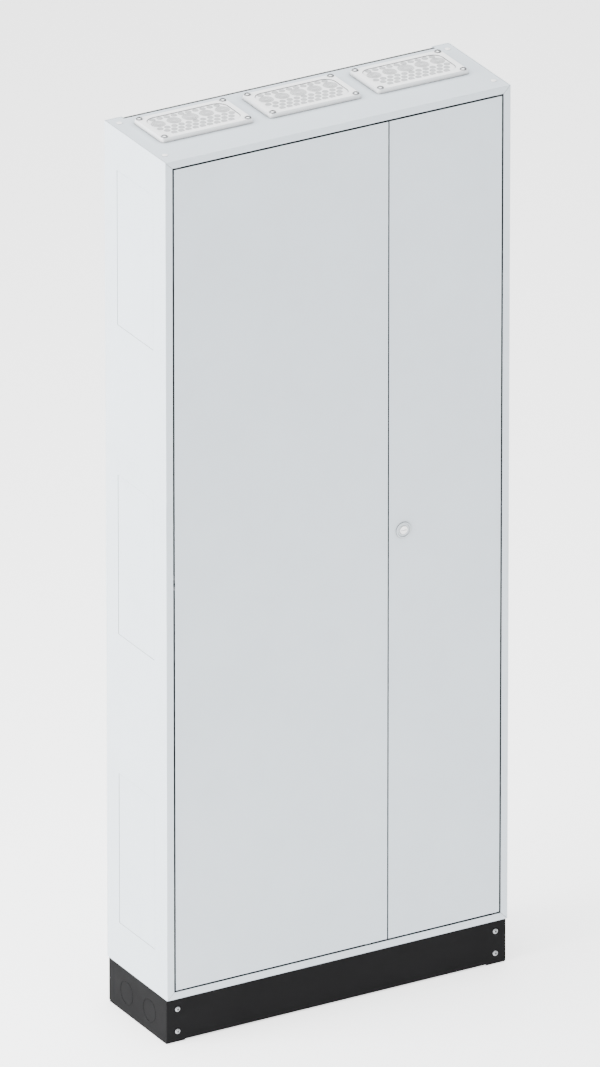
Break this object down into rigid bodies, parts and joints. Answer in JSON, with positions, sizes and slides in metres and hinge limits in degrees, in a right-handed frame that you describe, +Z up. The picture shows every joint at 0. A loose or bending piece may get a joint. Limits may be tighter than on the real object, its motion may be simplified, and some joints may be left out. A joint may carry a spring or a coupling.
{
  "type": "switchboard cabinet",
  "caption": "Tall shallow floor-standing switchboard cabinet on a plinth, with a wide and a narrow hinged door, a rod lock, slide bolts, mounting rails and membrane cable entries in the top.",
  "frame": {"origin": "on the floor, at the middle of the plinth's footprint; the lock bezel and the plinth screws stand about 2 mm proud of the front, so the box's middle is about 1 mm in front of it", "axes": "+Z up; the doors face -Y; +X to the right as the doors are faced"},
  "size_m": [0.8, 0.2523, 1.9732],
  "materials": {
    "body_paint": "light grey powder coat, fine texture",
    "door_paint": "light grey powder coat, fine texture",
    "plinth_paint": "black powder coat, satin",
    "zinc_steel": "zinc plated",
    "lock_zinc": "zinc die casting, satin",
    "black_metal": "blackened steel",
    "entry_plastic": "light grey moulded plastic",
    "plug_plastic": "white moulded plastic",
    "guide_plastic": "black moulded plastic",
    "seal_rubber": "foamed sealing strip",
    "copper_bar": "copper, bare",
    "brass_bar": "brass, bare"
  },
  "bodies": {
    "root": {"back_panel": "body_paint", "bottom_panel": "body_paint", "centre_mullion": "body_paint", "din_rail_1": "zinc_steel", "din_rail_2": "zinc_steel", "din_rail_3": "zinc_steel", "din_rail_4": "zinc_steel", "din_rail_5": "zinc_steel", "earth_bar": "copper_bar", "entry_clamp_centre": "zinc_steel", "entry_clamp_left": "zinc_steel", "entry_clamp_right": "zinc_steel", "entry_plate_centre": "entry_plastic", "entry_plate_left": "entry_plastic", "entry_plate_right": "entry_plastic", "mid_hinge_bracket_left": "zinc_steel", "mid_hinge_bracket_right": "zinc_steel", "mounting_post_left": "zinc_steel", "mounting_post_right": "zinc_steel", "neutral_bar": "brass_bar", "plinth_front_panel": "plinth_paint", "plinth_rear_panel": "plinth_paint", "plinth_screw_1": "zinc_steel", "plinth_screw_2": "zinc_steel", "plinth_screw_3": "zinc_steel", "plinth_screw_4": "zinc_steel", "plinth_side_left": "plinth_paint", "plinth_side_right": "plinth_paint", "side_panel_left": "body_paint", "side_panel_right": "body_paint", "top_panel": "body_paint", "top_plug_1": "plug_plastic", "top_plug_2": "plug_plastic", "top_plug_3": "plug_plastic", "top_plug_4": "plug_plastic"},
    "door_left": {"door_left": "door_paint", "door_seal_left": "seal_rubber", "hinge_pin_left_top": "black_metal", "hinge_pin_left_bottom": "black_metal", "mid_hinge_leaf_left": "zinc_steel", "mid_hinge_pin_left": "zinc_steel", "bolt_guide_top": "guide_plastic", "bolt_guide_bottom": "guide_plastic"},
    "door_right": {"door_right": "door_paint", "door_seal_right": "seal_rubber", "hinge_pin_right_top": "black_metal", "hinge_pin_right_bottom": "black_metal", "mid_hinge_leaf_right": "zinc_steel", "mid_hinge_pin_right": "zinc_steel", "lock_housing": "lock_zinc", "lock_case": "zinc_steel", "rod_guide_upper": "guide_plastic", "rod_guide_lower": "guide_plastic"},
    "lock_core": {"lock_core": "lock_zinc", "lock_pinion": "zinc_steel"},
    "lock_rod_upper": {"lock_rod_upper": "zinc_steel"},
    "lock_rod_lower": {"lock_rod_lower": "zinc_steel"},
    "slide_bolt_top": {"slide_bolt_top": "zinc_steel"},
    "slide_bolt_bottom": {"slide_bolt_bottom": "zinc_steel"}
  },
  "joints": [
    {"name": "door_left_hinge", "type": "hinge", "parent": "root", "child": "door_left", "pos_m": [-0.37, -0.118, 1.03], "axis": [0, 0, -1], "range_deg": [0, 105]},
    {"name": "door_right_hinge", "type": "hinge", "parent": "root", "child": "door_right", "pos_m": [0.37, -0.118, 1.03], "axis": [0, 0, 1], "range_deg": [0, 105]},
    {"name": "lock_turn", "type": "hinge", "parent": "door_right", "child": "lock_core", "pos_m": [0.1522, -0.125, 1.03], "axis": [0, 1, 0], "range_deg": [0, 90]},
    {"name": "rod_upper_slide", "type": "slide", "parent": "door_right", "child": "lock_rod_upper", "axis": [0, 0, 1], "range_m": [0, 0.01257]},
    {"name": "rod_lower_slide", "type": "slide", "parent": "door_right", "child": "lock_rod_lower", "axis": [0, 0, -1], "range_m": [0, 0.01257]},
    {"name": "bolt_top_slide", "type": "slide", "parent": "door_left", "child": "slide_bolt_top", "axis": [0, 0, 1], "range_m": [0, 0.01257]},
    {"name": "bolt_bottom_slide", "type": "slide", "parent": "door_left", "child": "slide_bolt_bottom", "axis": [0, 0, -1], "range_m": [0, 0.01257]}
  ],
  "couplings": [
    {"joint": "lock_turn", "follows": "rod_upper_slide", "rad_per_m": 125},
    {"joint": "rod_lower_slide", "follows": "rod_upper_slide", "ratio": 1}
  ]
}
